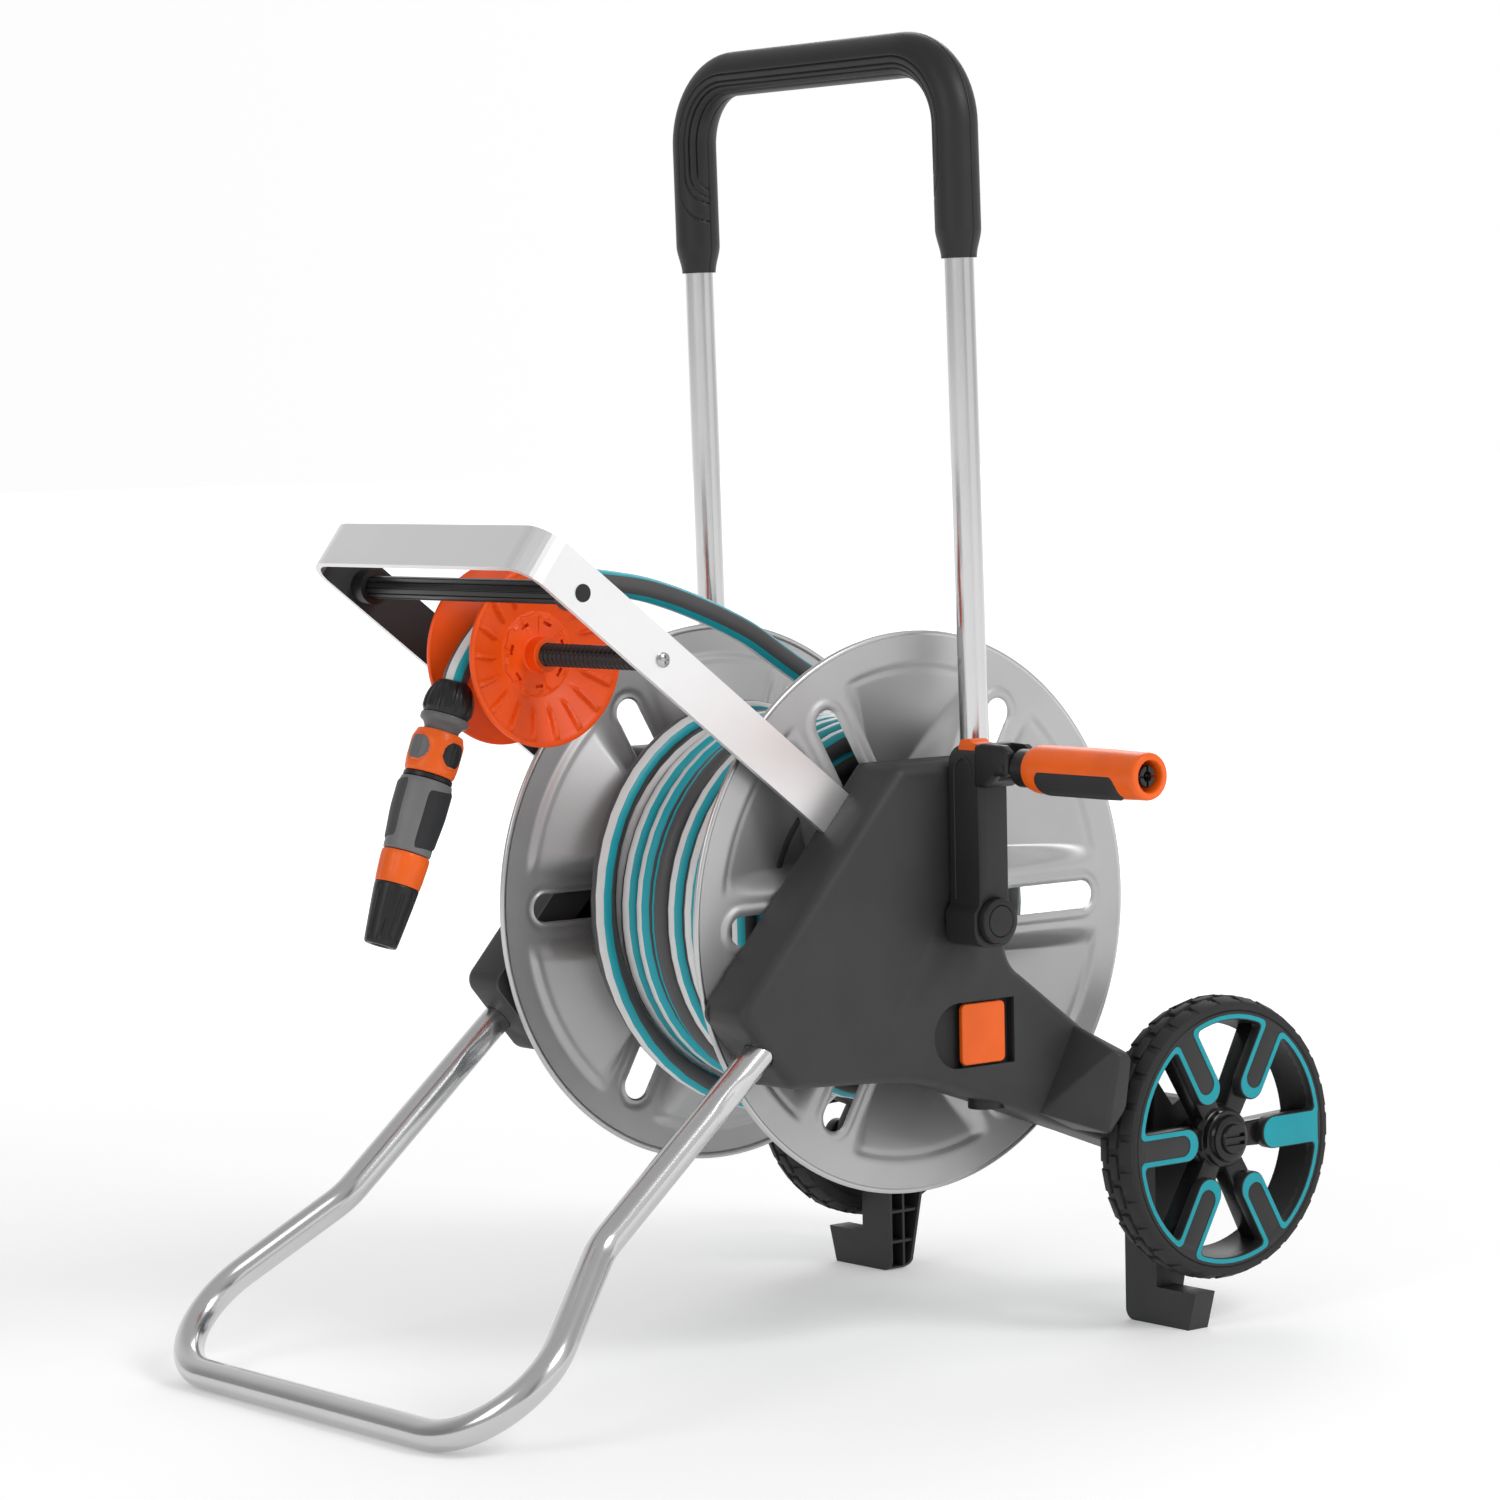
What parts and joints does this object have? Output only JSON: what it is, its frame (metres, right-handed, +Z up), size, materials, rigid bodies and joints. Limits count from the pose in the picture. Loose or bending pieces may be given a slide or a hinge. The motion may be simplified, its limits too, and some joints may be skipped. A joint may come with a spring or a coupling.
{
  "type": "garden hose reel cart",
  "caption": "Two-wheeled garden hose cart: steel hose reel between moulded side covers, folding crank, sliding handle, bent tube foot, screw-driven hose guide and spray nozzle.",
  "frame": {"origin": "centre of the standing area's box, on the ground", "axes": "+X towards the crank side, -Y towards the hose guide, +Z up"},
  "size_m": [0.554, 0.7551, 0.9105],
  "materials": {
    "cover_plastic": "fine moulded grain",
    "black_plastic": "satin moulded",
    "orange_plastic": "semi gloss",
    "grey_plastic": "satin moulded",
    "soft_rubber": "matte, ribbed",
    "tyre_rubber": "matte",
    "galvanised_sheet": "satin",
    "zinc_steel": "satin",
    "chrome_tube": "polished",
    "brushed_aluminium": "brushed",
    "hose_rubber": "smooth, striped lengthwise"
  },
  "bodies": {
    "frame": {"side_shell_right": "cover_plastic", "side_shell_left": "cover_plastic", "side_inner_right": "cover_plastic", "side_inner_left": "cover_plastic", "rear_leg_right": "cover_plastic", "rear_leg_left": "cover_plastic", "wheel_axle": "zinc_steel", "foot_bow": "chrome_tube", "guide_bracket": "brushed_aluminium", "upper_rod": "black_plastic", "rod_plugs": "black_plastic", "spindle": "black_plastic", "spindle_screws": "zinc_steel", "shell_screws": "zinc_steel", "axle_bushes": "black_plastic", "tube_guides": "black_plastic"},
    "reel": {"reel_core": "galvanised_sheet", "flange_right": "galvanised_sheet", "flange_left": "galvanised_sheet", "hub_right": "black_plastic", "hub_left": "black_plastic", "reel_axle": "zinc_steel", "water_pipe": "grey_plastic", "wound_hose": "hose_rubber", "crank_arm": "black_plastic", "crank_cap": "grey_plastic", "fold_pin": "zinc_steel", "button_spring": "zinc_steel"},
    "button": {"fold_button": "orange_plastic"},
    "knuckle": {"crank_knuckle": "black_plastic", "grip_snap": "black_plastic"},
    "grip": {"crank_grip": "orange_plastic", "grip_pad": "soft_rubber"},
    "handle": {"handle_tube_right": "chrome_tube", "handle_tube_left": "chrome_tube", "grip_front": "soft_rubber", "grip_rear": "soft_rubber", "tube_plugs": "black_plastic"},
    "latch_r": {"latch_right": "orange_plastic"},
    "latch_l": {"latch_left": "orange_plastic"},
    "wheel_r": {"tyre_right": "tyre_rubber", "rim_right": "cover_plastic", "hub_cap_right": "black_plastic"},
    "wheel_l": {"tyre_left": "tyre_rubber", "rim_left": "cover_plastic", "hub_cap_left": "black_plastic"},
    "carriage": {"hose_span": "hose_rubber", "union_nut": "black_plastic", "connector_body": "grey_plastic", "nozzle_body": "grey_plastic"},
    "sleeve": {"connector_sleeve": "orange_plastic"},
    "nozzle_head": {"nozzle_ring": "orange_plastic", "nozzle_tip": "black_plastic"},
    "pulley": {"pulley_near": "orange_plastic", "pulley_far": "orange_plastic"},
    "inlet": {"inlet_elbow": "grey_plastic", "inlet_nut": "black_plastic"}
  },
  "joints": [
    {"name": "reel_spin", "type": "hinge", "parent": "frame", "child": "reel", "pos_m": [-0.068, 0.0679, 0.3056], "axis": [1, 0, 0], "continuous": true},
    {"name": "crank_fold", "type": "hinge", "parent": "reel", "child": "knuckle", "pos_m": [0.148, 0.0679, 0.4106], "axis": [0, 1, 0], "range_deg": [0, 90]},
    {"name": "grip_spin", "type": "hinge", "parent": "knuckle", "child": "grip", "pos_m": [0.192, 0.0679, 0.4106], "axis": [1, 0, 0], "continuous": true},
    {"name": "fold_press", "type": "slide", "parent": "reel", "child": "button", "axis": [0, 0, -1], "range_m": [0, 0.003], "stiffness_N_per_m": 800, "deforming": ["button_spring"]},
    {"name": "handle_slide", "type": "slide", "parent": "frame", "child": "handle", "axis": [0, -0.0209, 0.9998], "range_m": [-0.18, 0]},
    {"name": "latch_right_pull", "type": "slide", "parent": "frame", "child": "latch_r", "axis": [0, -1, 0], "range_m": [0, 0.012], "stiffness_N_per_m": 400},
    {"name": "latch_left_pull", "type": "slide", "parent": "frame", "child": "latch_l", "axis": [0, -1, 0], "range_m": [0, 0.012], "stiffness_N_per_m": 400},
    {"name": "wheel_right_spin", "type": "hinge", "parent": "frame", "child": "wheel_r", "pos_m": [0.12, 0.2766, 0.1342], "axis": [1, 0, 0], "continuous": true},
    {"name": "wheel_left_spin", "type": "hinge", "parent": "frame", "child": "wheel_l", "pos_m": [-0.256, 0.2766, 0.1342], "axis": [1, 0, 0], "continuous": true},
    {"name": "guide_slide", "type": "slide", "parent": "frame", "child": "carriage", "axis": [1, 0, 0], "range_m": [-0.05, 0.104]},
    {"name": "pulley_spin", "type": "hinge", "parent": "carriage", "child": "pulley", "pos_m": [-0.095, -0.1612, 0.4915], "axis": [1, 0, 0], "range_deg": [-3620, 7510]},
    {"name": "connector_release", "type": "slide", "parent": "carriage", "child": "sleeve", "axis": [0, 0.36, 0.933], "range_m": [0, 0.004], "stiffness_N_per_m": 1000},
    {"name": "nozzle_twist", "type": "hinge", "parent": "carriage", "child": "nozzle_head", "pos_m": [-0.095, -0.2663, 0.35312], "axis": [0, -0.36, -0.933], "range_deg": [0, 270]},
    {"name": "inlet_swivel", "type": "hinge", "parent": "frame", "child": "inlet", "pos_m": [-0.248, 0.0679, 0.3056], "axis": [1, 0, 0], "range_deg": [-90, 90]}
  ],
  "couplings": [
    {"joint": "pulley_spin", "follows": "guide_slide", "rad_per_m": 1256.6}
  ]
}
